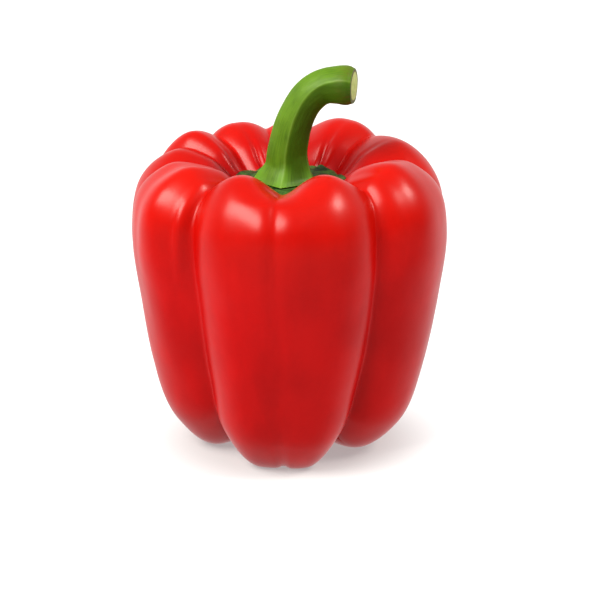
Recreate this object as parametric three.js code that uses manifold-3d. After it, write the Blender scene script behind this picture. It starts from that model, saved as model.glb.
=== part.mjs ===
// Bell pepper: a four-lobed fruit standing on its lobe tips, with a green calyx in the hollow at its top
// and a bent, cut stem on the calyx. Millimetres, +Z up, the surface it stands on is z = 0, the origin is
// under the middle of the fruit, and the broad front lobe faces -Y.
import * as THREE from "three";
import { mergeVertices } from "three/addons/utils/BufferGeometryUtils.js";
import Module from "manifold-3d";

// Driving dimensions
const BODY_WIDTH = 90; // across opposite lobes at their widest
const BODY_HEIGHT = 87; // from the surface up to the crests of the lobes
const STEM_RISE = 27.9; // from the calyx up to the top of the stem's bent centreline
const STEM_REACH = 16.8; // sideways, from the calyx's middle to the cut end
const STEM_WIDTH = 10.4; // halfway along the stem
const SEAT_GAP = 0.3; // between the fruit and the calyx, and between the calyx and the stem
const SIDES_AROUND = 84; // of the fruit and of the calyx, so that the two follow each other

const HALF_WIDTH = BODY_WIDTH / 2;
const { smoothstep, degToRad, clamp, lerp } = THREE.MathUtils;

// ---------------------------------------------------------------------------------------------------------
// Fruit
// ---------------------------------------------------------------------------------------------------------

// The outline of a lobe's crest, from the middle of the hollow at the top to the blossom scar underneath.
// Each entry is [radius / half width, height / body height], and its place in the list is its station.
const CREST_OUTLINE = [
  [0, 0.868], // 0  middle of the stem hollow
  [0.2, 0.87],
  [0.353, 0.889], // 2  rim of the calyx
  [0.549, 0.963],
  [0.729, 0.998], // 4  crest of the lobe
  [0.891, 0.948],
  [0.988, 0.864], // 6  shoulder
  [1.009, 0.738],
  [0.963, 0.559], // 8  flank
  [0.875, 0.309],
  [0.743, 0.113],
  [0.519, 0.001], // 11 tip that the fruit stands on
  [0.241, 0.032], // 12 hollow under the fruit
  [0, 0.086], // 13 blossom scar
];
const STATIONS = [0, 2, 4, 6, 8, 9.5, 11, 12, 13]; // where furrow depths and swellings are given
const CREST_STATION = 4;
const FLANK_STATION = 8;
const TIP_STATION = 11;

// Furrows: bearings in degrees at the crest, on the flank and at the tip; degrees to where the side ahead of
// the furrow (at higher bearings) and the side behind it fade out, at the crest and at the tip; depths at
// STATIONS as shares of the half width; and the rounding of the furrow's bottom as a share of its width.
const FURROWS = [
  {
    bearings: [309.9, 306.6, 303.8], ahead: [30.5, 36.6], behind: [35.5, 23.8], round: 0.04,
    depths: [0, 0.052, 0.134, 0.168, 0.131, 0.179, 0.258, 0.089, 0],
  },
  {
    bearings: [44.2, 46.1, 46.4], ahead: [13.2, 18], behind: [28.7, 25.4], round: 0.04,
    depths: [0, 0.053, 0.06, 0.097, 0.1, 0.155, 0.244, 0.089, 0],
  },
  {
    bearings: [131, 133, 135.1], ahead: [24.8, 26.8], behind: [12, 18], round: 0.04,
    depths: [0, 0.058, 0.133, 0.096, 0.101, 0.156, 0.244, 0.089, 0],
  },
  {
    bearings: [226.2, 229.4, 224.4], ahead: [41.9, 26.8], behind: [35.1, 38.7], round: 0.04,
    depths: [0, 0.057, 0.159, 0.167, 0.139, 0.172, 0.25, 0.089, 0],
  },
  {
    bearings: [265.5, 266.2, 266.1], ahead: [29.9, 24.2], behind: [28.3, 24.7], round: 0.1,
    depths: [0, 0.058, 0.14, 0.056, 0.016, 0.007, 0.028, 0.007, 0],
  },
  {
    bearings: [2.1, 1.1, 0.5], ahead: [18.6, 18.7], behind: [23.3, 21.7], round: 0.07,
    depths: [0, 0.043, 0.103, 0.063, 0.007, 0.003, 0.01, 0.007, 0],
  },
  {
    bearings: [80.2, 88, 88], ahead: [14, 14], behind: [20.1, 16], round: 0.1,
    depths: [0, 0.033, 0.077, 0.033, 0.007, 0.002, 0.009, 0.004, 0],
  },
  {
    bearings: [102.2, 96.8, 92], ahead: [14.4, 14], behind: [16, 14], round: 0.1,
    depths: [0, 0.033, 0.084, 0.033, 0.007, 0.002, 0, 0, 0],
  },
  {
    bearings: [155.3, 167.2, 170], ahead: [21.1, 13.5], behind: [18, 14.7], round: 0.07,
    depths: [0, 0.047, 0.112, 0.06, 0.009, 0.002, 0, 0, 0],
  },
  {
    bearings: [180.7, 186.5, 181.9], ahead: [13.2, 14.5], behind: [23.8, 15.4], round: 0.07,
    depths: [0, 0.031, 0.098, 0.036, 0.009, 0, 0.011, 0.007, 0],
  },
];
const VALLEY_POWER = 0.74; // below 1, so the lobes are round and the furrows between them are sharp

// Swellings: bearing, half width in degrees, and height at STATIONS as shares of the half width
const SWELLINGS = [
  { at: 246, spread: 22, heights: [0, -0.002, 0.071, 0.037, -0.013, 0.007, 0, 0, 0] },
  { at: 288, spread: 22, heights: [0, -0.002, 0.057, 0.041, -0.006, 0.005, -0.009, 0, 0] },
  { at: 64, spread: 20, heights: [0, 0, 0.029, 0.006, 0, 0, 0.01, 0, 0] },
  { at: 142, spread: 16, heights: [0, -0.007, 0.048, -0.01, 0, 0, 0, 0, 0] },
  { at: 26, spread: 24, heights: [0, 0.001, 0, -0.019, 0, 0, 0.013, 0, 0] },
  { at: 336, spread: 24, heights: [0, 0.013, 0.012, 0.003, 0.007, -0.002, -0.013, 0, 0] },
  { at: 170, spread: 18, heights: [0, -0.006, -0.017, -0.011, 0.005, 0, 0.005, 0, 0] },
  { at: 204, spread: 20, heights: [0, 0.016, -0.017, 0.009, 0.004, 0.004, -0.006, 0, 0] },
  { at: 268, spread: 40, heights: [0, 0.006, -0.02, -0.004, 0.011, 0.007, 0.027, 0, 0] },
  { at: 350, spread: 40, heights: [0, 0.02, -0.022, -0.004, -0.005, -0.012, -0.03, 0, 0] },
  { at: 188, spread: 40, heights: [0, 0.016, -0.036, -0.012, -0.001, 0, 0.003, 0, 0] },
];

// The outline as a curve, with one more point past each end, so that it crosses the axis level.
const outlinePoint = ([radius, height]) => new THREE.Vector3(radius * HALF_WIDTH, 0, height * BODY_HEIGHT);
const mirrored = ([radius, height]) => outlinePoint([-radius, height]);
const outline = new THREE.CatmullRomCurve3(
  [mirrored(CREST_OUTLINE[1]), ...CREST_OUTLINE.map(outlinePoint), mirrored(CREST_OUTLINE.at(-2))],
  false,
  "centripetal",
);
const LAST_STATION = CREST_OUTLINE.length - 1;
const onOutline = (station) => (station + 1) / (LAST_STATION + 2);

// A value given at STATIONS, eased from each station to the next.
function eased(values, station) {
  let value = values[0];
  for (let i = 1; i < STATIONS.length; i++) {
    value += (values[i] - values[i - 1]) * smoothstep(station, STATIONS[i - 1], STATIONS[i]);
  }
  return value;
}

// Degrees from one bearing to another, between -180 and 180
const turn = (to, from) => ((((to - from + 180) % 360) + 360) % 360) - 180;

// The bearing of a furrow's bottom at a station
function furrowBearing({ bearings: [crest, flank, tip] }, station) {
  const above = smoothstep(station, CREST_STATION, FLANK_STATION);
  const below = smoothstep(station, FLANK_STATION, TIP_STATION);
  return crest + (flank - crest) * above + (tip - flank) * below;
}

// How far the skin at a bearing and station lies inside the crest outline
function furrowDepth(bearing, station) {
  const descent = smoothstep(station, CREST_STATION, TIP_STATION);
  let depth = 0;
  for (const furrow of FURROWS) {
    const away = turn(bearing, furrowBearing(furrow, station));
    const side = away > 0 ? furrow.ahead : furrow.behind;
    const share = Math.min(1, Math.hypot(away / lerp(...side, descent), furrow.round));
    depth += eased(furrow.depths, station) * (1 - (1 - (1 - share) ** 2) ** VALLEY_POWER);
  }
  for (const swelling of SWELLINGS) {
    const away = clamp(turn(bearing, swelling.at) / swelling.spread, -1, 1);
    depth -= eased(swelling.heights, station) * Math.cos((away * Math.PI) / 2) ** 2;
  }
  return depth * HALF_WIDTH;
}

// The point of the skin at a bearing and station, lifted off it by a height along the outline's normal. A cap
// on the skin follows only a share of the depth of its furrows.
function skinPoint(bearing, station, lift = 0, followed = 1) {
  const on = onOutline(station);
  const crest = outline.getPoint(on);
  const along = outline.getTangent(on);
  const out = new THREE.Vector3(-along.z, 0, along.x);
  const depth = furrowDepth(bearing, station);
  crest.addScaledVector(out, lift - Math.min(depth, depth * followed));
  const radius = station === 0 || station === LAST_STATION ? 0 : Math.max(0, crest.x);
  const angle = degToRad(bearing);
  return new THREE.Vector3(radius * Math.cos(angle), radius * Math.sin(angle), crest.z);
}

// A lathed sheet of rows around the axis, with every vertex then put where place(bearing, row) says
function lathed(rows, around, place) {
  const bulge = (_, row) => new THREE.Vector2(Math.sin((row / rows) * Math.PI), row);
  const profile = Array.from({ length: rows + 1 }, bulge);
  const geometry = new THREE.LatheGeometry(profile, around);
  const position = geometry.getAttribute("position");
  for (let side = 0; side <= around; side++) {
    for (let row = 0; row <= rows; row++) {
      const point = place(((around - (side % around)) * 360) / around, row);
      position.setXYZ(side * (rows + 1) + row, point.x, point.y, point.z);
    }
  }
  return geometry;
}

// One closed mesh as a manifold-3d solid, and back
const wasm = await Module();
wasm.setup();
function solidOf(geometry) {
  const bare = geometry.clone();
  bare.deleteAttribute("normal");
  bare.deleteAttribute("uv");
  const merged = mergeVertices(bare, 1e-4);
  const mesh = new wasm.Mesh({
    numProp: 3,
    vertProperties: merged.getAttribute("position").array,
    triVerts: new Uint32Array(merged.index.array),
  });
  return new wasm.Manifold(mesh);
}
function geometryOf(solid) {
  const mesh = solid.getMesh();
  const geometry = new THREE.BufferGeometry();
  geometry.setAttribute("position", new THREE.BufferAttribute(mesh.vertProperties, 3));
  geometry.setIndex(new THREE.BufferAttribute(mesh.triVerts, 1));
  geometry.computeVertexNormals();
  return geometry;
}

function makeFruit() {
  const rowsPerStation = 3;
  const rows = LAST_STATION * rowsPerStation;
  const skin = lathed(rows, SIDES_AROUND, (bearing, row) => skinPoint(bearing, row / rowsPerStation));
  // The lobe tips are pressed flat where they carry the fruit.
  const below = new THREE.BoxGeometry(2 * BODY_WIDTH, 2 * BODY_WIDTH, BODY_HEIGHT);
  below.translate(0, 0, -BODY_HEIGHT / 2);
  return geometryOf(solidOf(skin).subtract(solidOf(below)));
}

// ---------------------------------------------------------------------------------------------------------
// Calyx: a thin cap that follows the skin of the hollow, with a level middle that carries the stem
// ---------------------------------------------------------------------------------------------------------

const CALYX_STATION = 2.0; // its mean rim on the crest outline
const CALYX_TEETH = 7;
const TOOTH_REACH = 0.16; // in stations, from a notch out to a tooth's point
const CALYX_THICKNESS = 1.4;
const RIM_THICKNESS = 1.0;
const FURROWS_FOLLOWED = 0.35; // the calyx bridges the furrows, and dips into them by this share
const EDGE_GAP = 0.15; // the calyx's rim stands this much further off the skin than its middle
const STEM_SEAT = 78; // height of the level middle

function makeCalyx() {
  const rows = 7; // on each face
  return lathed(2 * rows, SIDES_AROUND, (bearing, row) => {
    const onTop = row <= rows;
    const out = (onTop ? row : 2 * rows - row) / rows;
    const tooth = Math.abs(Math.cos((degToRad(bearing) * CALYX_TEETH) / 2)) - 0.5;
    const station = out * (CALYX_STATION + TOOTH_REACH * tooth);
    const thickness = row === rows ? RIM_THICKNESS / 2 : lerp(CALYX_THICKNESS, RIM_THICKNESS, out);
    const lift = SEAT_GAP + EDGE_GAP * out + (onTop ? thickness : 0);
    const point = skinPoint(bearing, station, lift, FURROWS_FOLLOWED);
    if (onTop) point.z = lerp(STEM_SEAT, point.z, smoothstep(out, 0.62, 0.95));
    return point;
  });
}

// ---------------------------------------------------------------------------------------------------------
// Stem: ribbed, flared where it meets the calyx, bent to the right and cut off square
// ---------------------------------------------------------------------------------------------------------

// Centreline, as shares of the reach sideways and of the rise upwards; it also leans a little forwards.
const STEM_PATH = [
  [-0.06, 0, 0],
  [-0.036, 0, 0.143],
  [-0.03, 0, 0.283],
  [0.006, 0, 0.409],
  [0.06, 0, 0.552],
  [0.155, -0.012, 0.698],
  [0.298, -0.03, 0.841],
  [0.446, -0.054, 0.928],
  [0.607, -0.083, 0.978],
  [0.774, -0.113, 0.998],
  [1, -0.155, 1.003],
];
// Radius as a share of half the stem's width, at shares of its length
const STEM_GIRTH = [
  [0, 1.77],
  [0.025, 1.6],
  [0.11, 1.24],
  [0.22, 1.1],
  [0.32, 1.04],
  [0.43, 1.0],
  [0.55, 0.96],
  [0.68, 0.95],
  [0.77, 0.95],
  [0.86, 1.04],
  [0.94, 1.12],
  [1, 1.0],
];
const STEM_RIBS = 5;
const RIB_SHARE = 0.06;

function stemGirth(along) {
  const next = Math.max(1, STEM_GIRTH.findIndex(([share]) => share >= along));
  const [from, girthFrom] = STEM_GIRTH[next - 1];
  const [to, girthTo] = STEM_GIRTH[next];
  return (STEM_WIDTH / 2) * lerp(girthFrom, girthTo, smoothstep(along, from, to));
}

function makeStem() {
  const foot = STEM_SEAT + SEAT_GAP;
  const waypoint = ([x, y, z]) => new THREE.Vector3(x * STEM_REACH, y * STEM_REACH, foot + z * STEM_RISE);
  const path = new THREE.CatmullRomCurve3(STEM_PATH.map(waypoint), false, "centripetal");
  const geometry = new THREE.CylinderGeometry(1, 1, 1, 30, 28);
  const position = geometry.getAttribute("position");
  const forwards = new THREE.Vector3(0, 1, 0);
  for (let i = 0; i < position.count; i++) {
    const along = clamp(position.getY(i) + 0.5, 0, 1);
    const [acrossX, acrossY] = [position.getX(i), position.getZ(i)];
    const rib = 1 + RIB_SHARE * Math.cos(STEM_RIBS * Math.atan2(acrossY, acrossX));
    const radius = stemGirth(along) * rib;
    const centre = path.getPointAt(along);
    const heading = along === 0 ? new THREE.Vector3(0, 0, 1) : path.getTangentAt(along);
    const side = new THREE.Vector3().crossVectors(forwards, heading).normalize();
    const other = new THREE.Vector3().crossVectors(heading, side);
    centre.addScaledVector(side, acrossX * radius).addScaledVector(other, -acrossY * radius);
    position.setXYZ(i, centre.x, centre.y, centre.z);
  }
  return geometry;
}

// ---------------------------------------------------------------------------------------------------------
// Assembly
// ---------------------------------------------------------------------------------------------------------

const waxyRed = new THREE.MeshStandardMaterial({ color: 0xc4120f, roughness: 0.3, metalness: 0 });
const darkGreen = new THREE.MeshStandardMaterial({ color: 0x2f5a1c, roughness: 0.6, metalness: 0 });
const stemGreen = new THREE.MeshStandardMaterial({ color: 0x5e8c1f, roughness: 0.5, metalness: 0 });

function named(name, geometry, material) {
  const mesh = new THREE.Mesh(geometry, material);
  mesh.name = name;
  return mesh;
}

const fruit = named("fruit", makeFruit(), waxyRed);
const pepper = new THREE.Group();
pepper.add(fruit, named("calyx", makeCalyx(), darkGreen), named("stem", makeStem(), stemGreen));

// The origin is under the middle of the fruit's own box.
const middle = new THREE.Box3().setFromObject(fruit).getCenter(new THREE.Vector3());
pepper.position.set(-middle.x, -middle.y, 0);

export default pepper;
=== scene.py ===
"""A red bell pepper on its CAD frame: waxy fruit, green calyx and cut stem, in a pale studio."""
import logging
import math
from dataclasses import dataclass, field
from enum import Enum
from typing import Any, Callable, Sequence

import bpy
from mathutils import Matrix, Vector


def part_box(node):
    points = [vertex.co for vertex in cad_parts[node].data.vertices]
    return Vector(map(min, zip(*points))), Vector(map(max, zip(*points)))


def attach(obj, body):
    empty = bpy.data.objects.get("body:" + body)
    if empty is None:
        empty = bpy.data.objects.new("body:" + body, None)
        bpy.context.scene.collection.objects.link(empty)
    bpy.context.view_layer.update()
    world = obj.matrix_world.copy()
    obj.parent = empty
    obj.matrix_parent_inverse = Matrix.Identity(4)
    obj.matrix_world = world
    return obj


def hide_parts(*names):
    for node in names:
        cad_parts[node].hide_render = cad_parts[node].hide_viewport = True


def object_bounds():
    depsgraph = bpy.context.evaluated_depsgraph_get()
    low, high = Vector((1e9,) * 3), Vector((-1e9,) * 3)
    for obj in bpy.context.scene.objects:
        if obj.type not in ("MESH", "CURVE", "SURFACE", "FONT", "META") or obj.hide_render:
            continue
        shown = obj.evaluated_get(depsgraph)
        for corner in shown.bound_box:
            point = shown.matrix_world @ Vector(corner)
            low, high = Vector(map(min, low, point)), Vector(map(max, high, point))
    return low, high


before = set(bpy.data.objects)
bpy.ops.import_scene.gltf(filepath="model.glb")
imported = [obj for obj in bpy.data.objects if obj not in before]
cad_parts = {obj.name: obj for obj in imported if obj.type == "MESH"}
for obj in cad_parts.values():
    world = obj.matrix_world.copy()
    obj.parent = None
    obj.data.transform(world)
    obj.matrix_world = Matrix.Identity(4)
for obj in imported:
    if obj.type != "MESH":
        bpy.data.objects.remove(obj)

CAD_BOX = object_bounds()
MM = 0.001
log = logging.getLogger("bell_pepper")

Colour = tuple[float, float, float, float]
Sizes = dict[str, "float | int"]


class Node(Enum):
    """The CAD nodes that the grown pieces stand for, and the bodies they ride on."""

    FRUIT = "fruit"
    CALYX = "calyx"
    STEM = "stem"
    BODY = "root"


class Slot(Enum):
    """Material slots of the part's record."""

    SKIN = "red_skin"
    CALYX = "calyx_green"
    STEM = "stem_green"


class Port(Enum):
    """Socket types of a geometry group."""

    GEOMETRY = "NodeSocketGeometry"
    NUMBER = "NodeSocketFloat"
    COUNT = "NodeSocketInt"
    VECTOR = "NodeSocketVector"


# ---- Node trees ----


def operator(
    operation: str, number_first: bool = False
) -> "Callable[[Wire, Wire | float], Wire]":
    """Makes one of Python's operators out of a Math node.

    Args:
        operation: the Math node's operation.
        number_first: whether the other term comes first.

    Returns:
        The operator's method.
    """

    def method(wire: "Wire", other: "Wire | float") -> "Wire":
        """Adds the Math node."""
        terms = {0: other, 1: wire} if number_first else {0: wire, 1: other}
        return wire.tree.node("ShaderNodeMath", {"operation": operation}, terms)

    return method


class Wire:
    """An output socket of a node, on which Python's operators add Math nodes."""

    __add__, __radd__ = operator("ADD"), operator("ADD", True)
    __sub__, __rsub__ = operator("SUBTRACT"), operator("SUBTRACT", True)
    __mul__, __rmul__ = operator("MULTIPLY"), operator("MULTIPLY", True)
    __truediv__, __rtruediv__ = operator("DIVIDE"), operator("DIVIDE", True)
    __pow__ = operator("POWER")

    def __init__(self, tree: "Tree", socket: bpy.types.NodeSocket) -> None:
        """Wraps one output socket of a tree."""
        self.tree = tree
        self.socket = socket

    def maths(self, operation: str, *others: "Wire | float") -> "Wire":
        """Adds a Math node whose first value is this wire.

        Args:
            operation: the Math node's operation.
            others: its second and third values.

        Returns:
            The node's result.
        """
        terms = dict(enumerate((self, *others)))
        return self.tree.node("ShaderNodeMath", {"operation": operation}, terms)

    def output(self, name: str) -> "Wire":
        """Another output of the same node."""
        return Wire(self.tree, find(self.socket.node.outputs, name))


def find(sockets: Sequence[bpy.types.NodeSocket], key: "str | int") -> bpy.types.NodeSocket:
    """Finds a socket of a node.

    Args:
        sockets: the node's inputs or outputs.
        key: a place in them, or the name of one that is in use.

    Returns:
        The socket.
    """
    if isinstance(key, int):
        return sockets[key]
    return next(s for s in sockets if s.enabled and s.name == key)


class Tree:
    """A node tree that is being built."""

    def __init__(self, tree: bpy.types.NodeTree) -> None:
        """Starts building in a tree."""
        self.tree = tree

    def node(
        self,
        kind: str,
        settings: "dict[str, Any] | None" = None,
        sockets: "dict[str | int, Any] | None" = None,
        out: "str | int | None" = 0,
    ) -> "Wire | None":
        """Adds one node.

        Args:
            kind: the node's type.
            settings: its properties, which are set first; "stops" are a ramp's places and colours.
            sockets: values or wires for its inputs, by name or place.
            out: the output to give back, or None for a node without one.

        Returns:
            The chosen output.
        """
        made = self.tree.nodes.new(kind)
        for name, value in (settings or {}).items():
            if name == "stops":
                self._set_stops(made.color_ramp, value)
            else:
                setattr(made, name, value)
        for key, value in (sockets or {}).items():
            target = find(made.inputs, key)
            if isinstance(value, Wire):
                self.tree.links.new(value.socket, target)
            else:
                target.default_value = value
        return None if out is None else Wire(self, find(made.outputs, out))

    @staticmethod
    def _set_stops(ramp: bpy.types.ColorRamp, stops: Sequence[tuple[float, Colour]]) -> None:
        """Gives a ramp its stops, in rising order of place."""
        while len(ramp.elements) < len(stops):
            ramp.elements.new(1.0)
        for element, (place, colour) in zip(ramp.elements, stops):
            element.position = place
            element.color = colour

    def smooth(self, value: Wire, low: float, high: float) -> Wire:
        """Eases from 0 at low to 1 at high.

        Args:
            value: what is followed.
            low: where the step starts.
            high: where it ends; it may lie below low for a falling step.

        Returns:
            The eased step.
        """
        falling = high < low
        ends = {"From Min": min(low, high), "From Max": max(low, high)}
        limits = {"To Min": 1.0 if falling else 0.0, "To Max": 0.0 if falling else 1.0}
        return self.node(
            "ShaderNodeMapRange",
            {"interpolation_type": "SMOOTHSTEP"},
            {"Value": value, **ends, **limits},
        )

    def noise(self, place: Wire, scale: float, detail: float = 2.0, roughness: float = 0.5) -> Wire:
        """A noise texture between 0 and 1.

        Args:
            place: where it is read.
            scale: how many blotches there are to the unit.
            detail: how many finer layers are added.
            roughness: how strong the finer layers are.

        Returns:
            The noise.
        """
        sockets = {"Vector": place, "Scale": scale, "Detail": detail, "Roughness": roughness}
        return self.node("ShaderNodeTexNoise", {}, sockets, "Fac")

    def vector(self, x: "Wire | float", y: "Wire | float", z: "Wire | float") -> Wire:
        """A vector of three numbers."""
        return self.node("ShaderNodeCombineXYZ", {}, {"X": x, "Y": y, "Z": z})

    def parts(self, vector: Wire) -> tuple[Wire, Wire, Wire]:
        """The three numbers of a vector."""
        x = self.node("ShaderNodeSeparateXYZ", {}, {0: vector})
        return x, x.output("Y"), x.output("Z")

    def vector_maths(self, operation: str, *terms: Any) -> Wire:
        """Adds a Vector Math node that gives a vector."""
        return self.node("ShaderNodeVectorMath", {"operation": operation}, dict(enumerate(terms)))

    def scaled(self, vector: Wire, length: Wire) -> Wire:
        """A vector times a number."""
        sockets = {"Vector": vector, "Scale": length}
        return self.node("ShaderNodeVectorMath", {"operation": "SCALE"}, sockets)

    def mix(self, share: "Wire | float", first: Any, second: Any, kind: str = "RGBA") -> Wire:
        """Mixes two colours or two vectors.

        Args:
            share: how much of the second there is.
            first: what there is at 0.
            second: what there is at 1.
            kind: the Mix node's data type.

        Returns:
            The mixture.
        """
        sockets = {"Factor": share, "A": first, "B": second}
        return self.node("ShaderNodeMix", {"data_type": kind}, sockets, "Result")


class Finish(Tree):
    """The node tree of a material with one Principled shader."""

    def __init__(self, name: str) -> None:
        """Makes an empty material of this name."""
        self.material = bpy.data.materials.new(name)
        self.material.use_nodes = True
        self.material.node_tree.nodes.clear()
        super().__init__(self.material.node_tree)

    def place(self) -> Wire:
        """Where a point of the piece is, in the row frame."""
        return self.node("ShaderNodeTexCoord", out="Object")

    def attribute(self, name: str) -> Wire:
        """A number that the mesh carries."""
        return self.node("ShaderNodeAttribute", {"attribute_name": name}, out="Fac")

    def bump(
        self, height: Wire, depth: float, strength: float = 1.0, under: "Wire | None" = None
    ) -> Wire:
        """Turns a height into a normal.

        Args:
            height: the relief, between 0 and 1.
            depth: how deep the relief is, in metres.
            strength: how much of it shows.
            under: the normal of a relief beneath this one.

        Returns:
            The normal.
        """
        sockets = {"Height": height, "Distance": depth, "Strength": strength}
        if under is not None:
            sockets["Normal"] = under
        return self.node("ShaderNodeBump", {}, sockets)

    def shade(self, **sockets: Any) -> bpy.types.Material:
        """Ends the tree in a Principled shader.

        Args:
            sockets: its values and wires, with "_" for each space in a socket's name.

        Returns:
            The finished material.
        """
        named = {name.replace("_", " "): value for name, value in sockets.items()}
        surface = self.node("ShaderNodeBsdfPrincipled", {}, named)
        self.node("ShaderNodeOutputMaterial", {}, {"Surface": surface}, out=None)
        return self.material


class Growth(Tree):
    """A Geometry Nodes group with named inputs and outputs."""

    def __init__(self, name: str, inputs: dict[str, Port], outputs: dict[str, Port]) -> None:
        """Makes an empty group.

        Args:
            name: what the group is called.
            inputs: the type of each named input.
            outputs: the type of each named output.
        """
        super().__init__(bpy.data.node_groups.new(name, "GeometryNodeTree"))
        self.identifiers = {}
        for title, port in inputs.items():
            made = self.tree.interface.new_socket(title, in_out="INPUT", socket_type=port.value)
            self.identifiers[title] = made.identifier
        for title, port in outputs.items():
            self.tree.interface.new_socket(title, in_out="OUTPUT", socket_type=port.value)
        self.source = self.tree.nodes.new("NodeGroupInput")

    def given(self, name: str) -> Wire:
        """An input of the group."""
        return Wire(self, self.source.outputs[name])

    def give(self, **wires: Wire) -> bpy.types.NodeTree:
        """Connects the group's outputs.

        Args:
            wires: one wire for each output.

        Returns:
            The finished group.
        """
        self.node("NodeGroupOutput", {}, wires, out=None)
        return self.tree

    def call(self, group: bpy.types.NodeTree, sockets: dict[str, Any], out: str) -> Wire:
        """Uses another group in this one."""
        return self.node("GeometryNodeGroup", {"node_tree": group}, sockets, out)

    def store(self, mesh: Wire, name: str, value: Wire) -> Wire:
        """Writes a number on every point of a mesh."""
        sockets = {"Geometry": mesh, "Name": name, "Value": value}
        settings = {"data_type": "FLOAT", "domain": "POINT"}
        return self.node("GeometryNodeStoreNamedAttribute", settings, sockets)

    def sheet(self, sides: Wire, rows: Wire) -> tuple[Wire, Wire, Wire]:
        """A sheet to be wrapped round an axis.

        Args:
            sides: its faces around the axis.
            rows: its faces along the axis.

        Returns:
            The mesh with its UV map, the bearing in degrees, and the share of the way along.
        """
        counts = {"Vertices X": sides + 1.0, "Vertices Y": rows + 1.0}
        mesh = self.node("GeometryNodeMeshGrid", {}, {"Size X": 1.0, "Size Y": 1.0, **counts})
        chart = mesh.output("UV Map")
        settings = {"data_type": "FLOAT2", "domain": "CORNER"}
        sockets = {"Geometry": mesh, "Name": "UVMap", "Value": chart}
        mapped = self.node("GeometryNodeStoreNamedAttribute", settings, sockets)
        across, along, _ = self.parts(chart)
        return mapped, (1.0 - across) * 360.0, along

    def moved(self, mesh: Wire, place: Wire) -> Wire:
        """Puts every point of a mesh in its place."""
        return self.node("GeometryNodeSetPosition", {}, {"Geometry": mesh, "Position": place})

    def pushed(self, mesh: Wire, height: Wire) -> Wire:
        """Moves every point of a mesh outwards by a height."""
        offset = self.scaled(self.node("GeometryNodeInputNormal"), height)
        return self.node("GeometryNodeSetPosition", {}, {"Geometry": mesh, "Offset": offset})

    def closed(self, mesh: Wire) -> Wire:
        """Joins a mesh's seam and poles."""
        sockets = {"Geometry": mesh, "Distance": 1e-6}
        return self.node("GeometryNodeMergeByDistance", {}, sockets)

    def finished(self, mesh: Wire, material: bpy.types.Material) -> bpy.types.NodeTree:
        """Ends the tree in Realize Instances and Set Material.

        Args:
            mesh: the grown mesh.
            material: what it is made of.

        Returns:
            The finished group.
        """
        smooth = self.node("GeometryNodeSetShadeSmooth", {}, {"Geometry": mesh})
        real = self.node("GeometryNodeRealizeInstances", {}, {"Geometry": smooth})
        sockets = {"Geometry": real, "Material": material}
        return self.give(Geometry=self.node("GeometryNodeSetMaterial", {}, sockets))


def in_scene(name: str, data: bpy.types.ID) -> bpy.types.Object:
    """Makes an object in the scene.

    Args:
        name: what it is called.
        data: its mesh, light or camera.

    Returns:
        The object.
    """
    made = bpy.data.objects.new(name, data)
    bpy.context.scene.collection.objects.link(made)
    return made


class Piece:
    """A piece that a growth tree makes round a guide line, in the place of a CAD node."""

    NAME: str
    NODE: Node
    SLOT: Slot

    def sizes(self) -> Sizes:
        """The named number inputs of the growth tree."""
        raise NotImplementedError

    def guide(self) -> bpy.types.Mesh:
        """The line that the piece follows."""
        raise NotImplementedError

    def growth(self) -> Growth:
        """The finished growth tree."""
        raise NotImplementedError

    def start(self, line: str) -> tuple[Growth, Wire, Wire, Wire]:
        """Starts the growth tree.

        Args:
            line: the name of the input that takes the guide line.

        Returns:
            The tree, with its sheet, bearing and share of the way along.
        """
        numbers = {
            title: Port.COUNT if isinstance(size, int) else Port.NUMBER
            for title, size in self.sizes().items()
        }
        inputs = {line: Port.GEOMETRY, **numbers}
        g = Growth(f"{self.NAME}_growth", inputs, {"Geometry": Port.GEOMETRY})
        return g, *g.sheet(g.given("Sides"), g.given("Rows"))

    def build(self) -> bpy.types.Object:
        """Runs the growth tree once and keeps the plain mesh that it gives.

        Returns:
            The piece, at the origin, with its place in its mesh.
        """
        growth = self.growth()
        carrier = in_scene(f"{self.NAME}_guide", self.guide())
        modifier = carrier.modifiers.new("growth", "NODES")
        modifier.node_group = growth.tree
        for title, value in self.sizes().items():
            modifier[growth.identifiers[title]] = value
        depsgraph = bpy.context.evaluated_depsgraph_get()
        plain = bpy.data.meshes.new_from_object(
            carrier.evaluated_get(depsgraph), preserve_all_data_layers=True, depsgraph=depsgraph
        )
        carrier.modifiers.remove(modifier)
        bpy.data.objects.remove(carrier)
        plain.name = self.NAME
        return in_scene(self.NAME, plain)

    def dress(self, piece: bpy.types.Object) -> None:
        """Gives the grown piece its place in the frame.

        Args:
            piece: what build gave.
        """
        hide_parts(self.NODE.value)
        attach(piece, Node.BODY.value)


def guide_line(
    name: str, points: Sequence[Vector], extra: "dict[str, list[Vector | float]]"
) -> bpy.types.Mesh:
    """A mesh of one line, with values on its points.

    Args:
        name: what the line is called.
        points: the points, in order.
        extra: further values of each point, by name.

    Returns:
        The line.
    """
    mesh = bpy.data.meshes.new(name)
    mesh.from_pydata(points, [(i, i + 1) for i in range(len(points) - 1)], [])
    for title, values in extra.items():
        if isinstance(values[0], Vector):
            layer = mesh.attributes.new(title, "FLOAT_VECTOR", "POINT")
            layer.data.foreach_set("vector", [part for value in values for part in value])
        else:
            layer = mesh.attributes.new(title, "FLOAT", "POINT")
            layer.data.foreach_set("value", values)
    return mesh


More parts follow.
